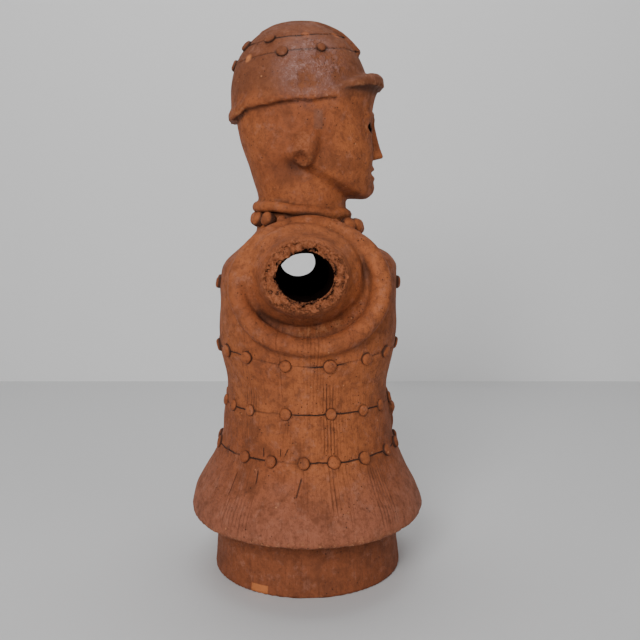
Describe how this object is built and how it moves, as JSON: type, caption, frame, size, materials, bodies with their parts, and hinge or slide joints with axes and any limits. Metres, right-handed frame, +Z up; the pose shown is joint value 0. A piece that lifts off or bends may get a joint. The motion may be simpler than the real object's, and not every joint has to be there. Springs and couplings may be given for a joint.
{
  "type": "haniwa warrior figure",
  "caption": "Hollow terracotta haniwa warrior on a round foot, with a flared cuirass, broken arm stumps and a visored helmet; a standing display piece.",
  "frame": {"origin": "centre of the foot's underside", "axes": "+Z up through the figure, the face looks along -Y, the arm stumps point along +X and -X"},
  "size_m": [0.2424, 0.2246, 0.5187],
  "materials": {
    "fired_clay": "dry unglazed terracotta, slightly burnished on the helmet"
  },
  "bodies": {
    "root": {"haniwa_figure": "fired_clay"}
  },
  "joints": []
}
